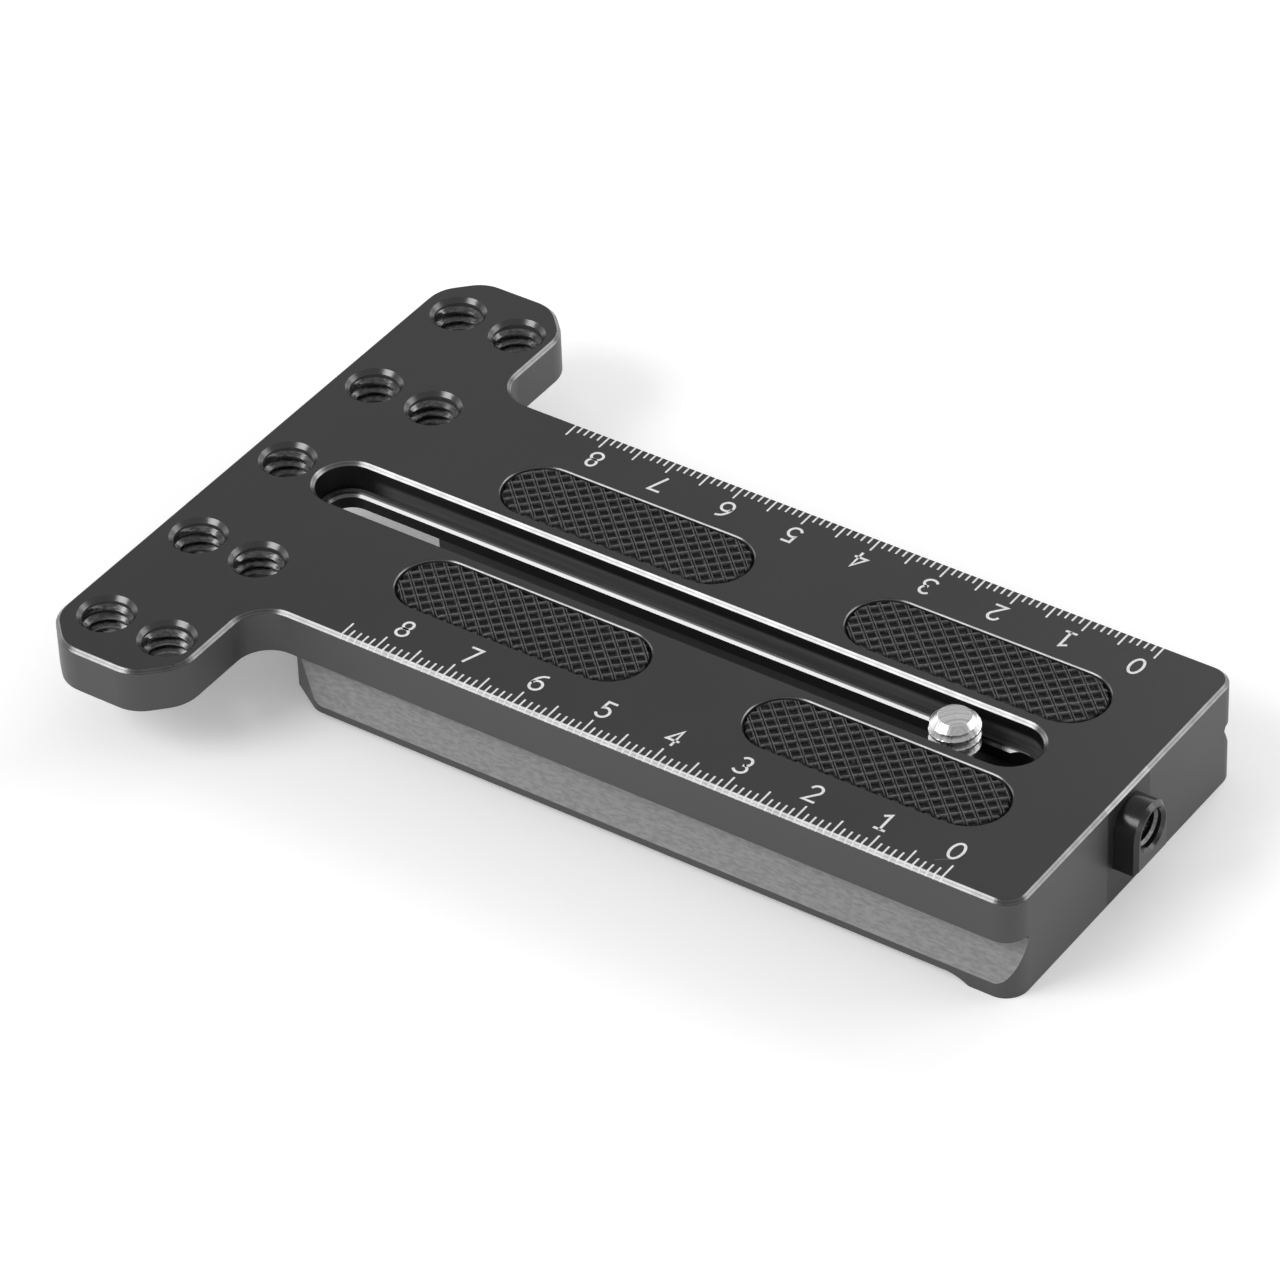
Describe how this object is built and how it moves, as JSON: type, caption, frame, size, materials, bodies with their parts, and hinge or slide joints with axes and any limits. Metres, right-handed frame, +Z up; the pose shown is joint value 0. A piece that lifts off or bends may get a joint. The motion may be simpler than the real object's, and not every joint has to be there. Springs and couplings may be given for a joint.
{
  "type": "counterweight mounting plate",
  "caption": "Flat camera plate with a wide drilled head, dovetail rail, stepped slot holding a sliding camera screw, ribbed rubber pads and a small tapped boss on its end.",
  "frame": {"origin": "below the middle of the whole part, on the surface that the rail rests on", "axes": "X along the plate from the wide head to the boss, Y across the plate, Z up out of the top face"},
  "size_m": [0.1306, 0.089, 0.0153],
  "materials": {
    "anodised_body": "fine bead-blasted black anodise with bright machined bevels",
    "pad_rubber": "black moulded rubber with a crossed rib pattern",
    "screw_steel": "bright turned stainless steel"
  },
  "bodies": {
    "root": {"plate": "anodised_body", "pad_near_front": "pad_rubber", "pad_near_back": "pad_rubber", "pad_far_front": "pad_rubber", "pad_far_back": "pad_rubber"},
    "screw": {"camera_screw": "screw_steel"}
  },
  "joints": [
    {"name": "screw_slide", "type": "slide", "parent": "root", "child": "screw", "axis": [1, 0, 0], "range_m": [-0.0885, 0.0074]}
  ]
}
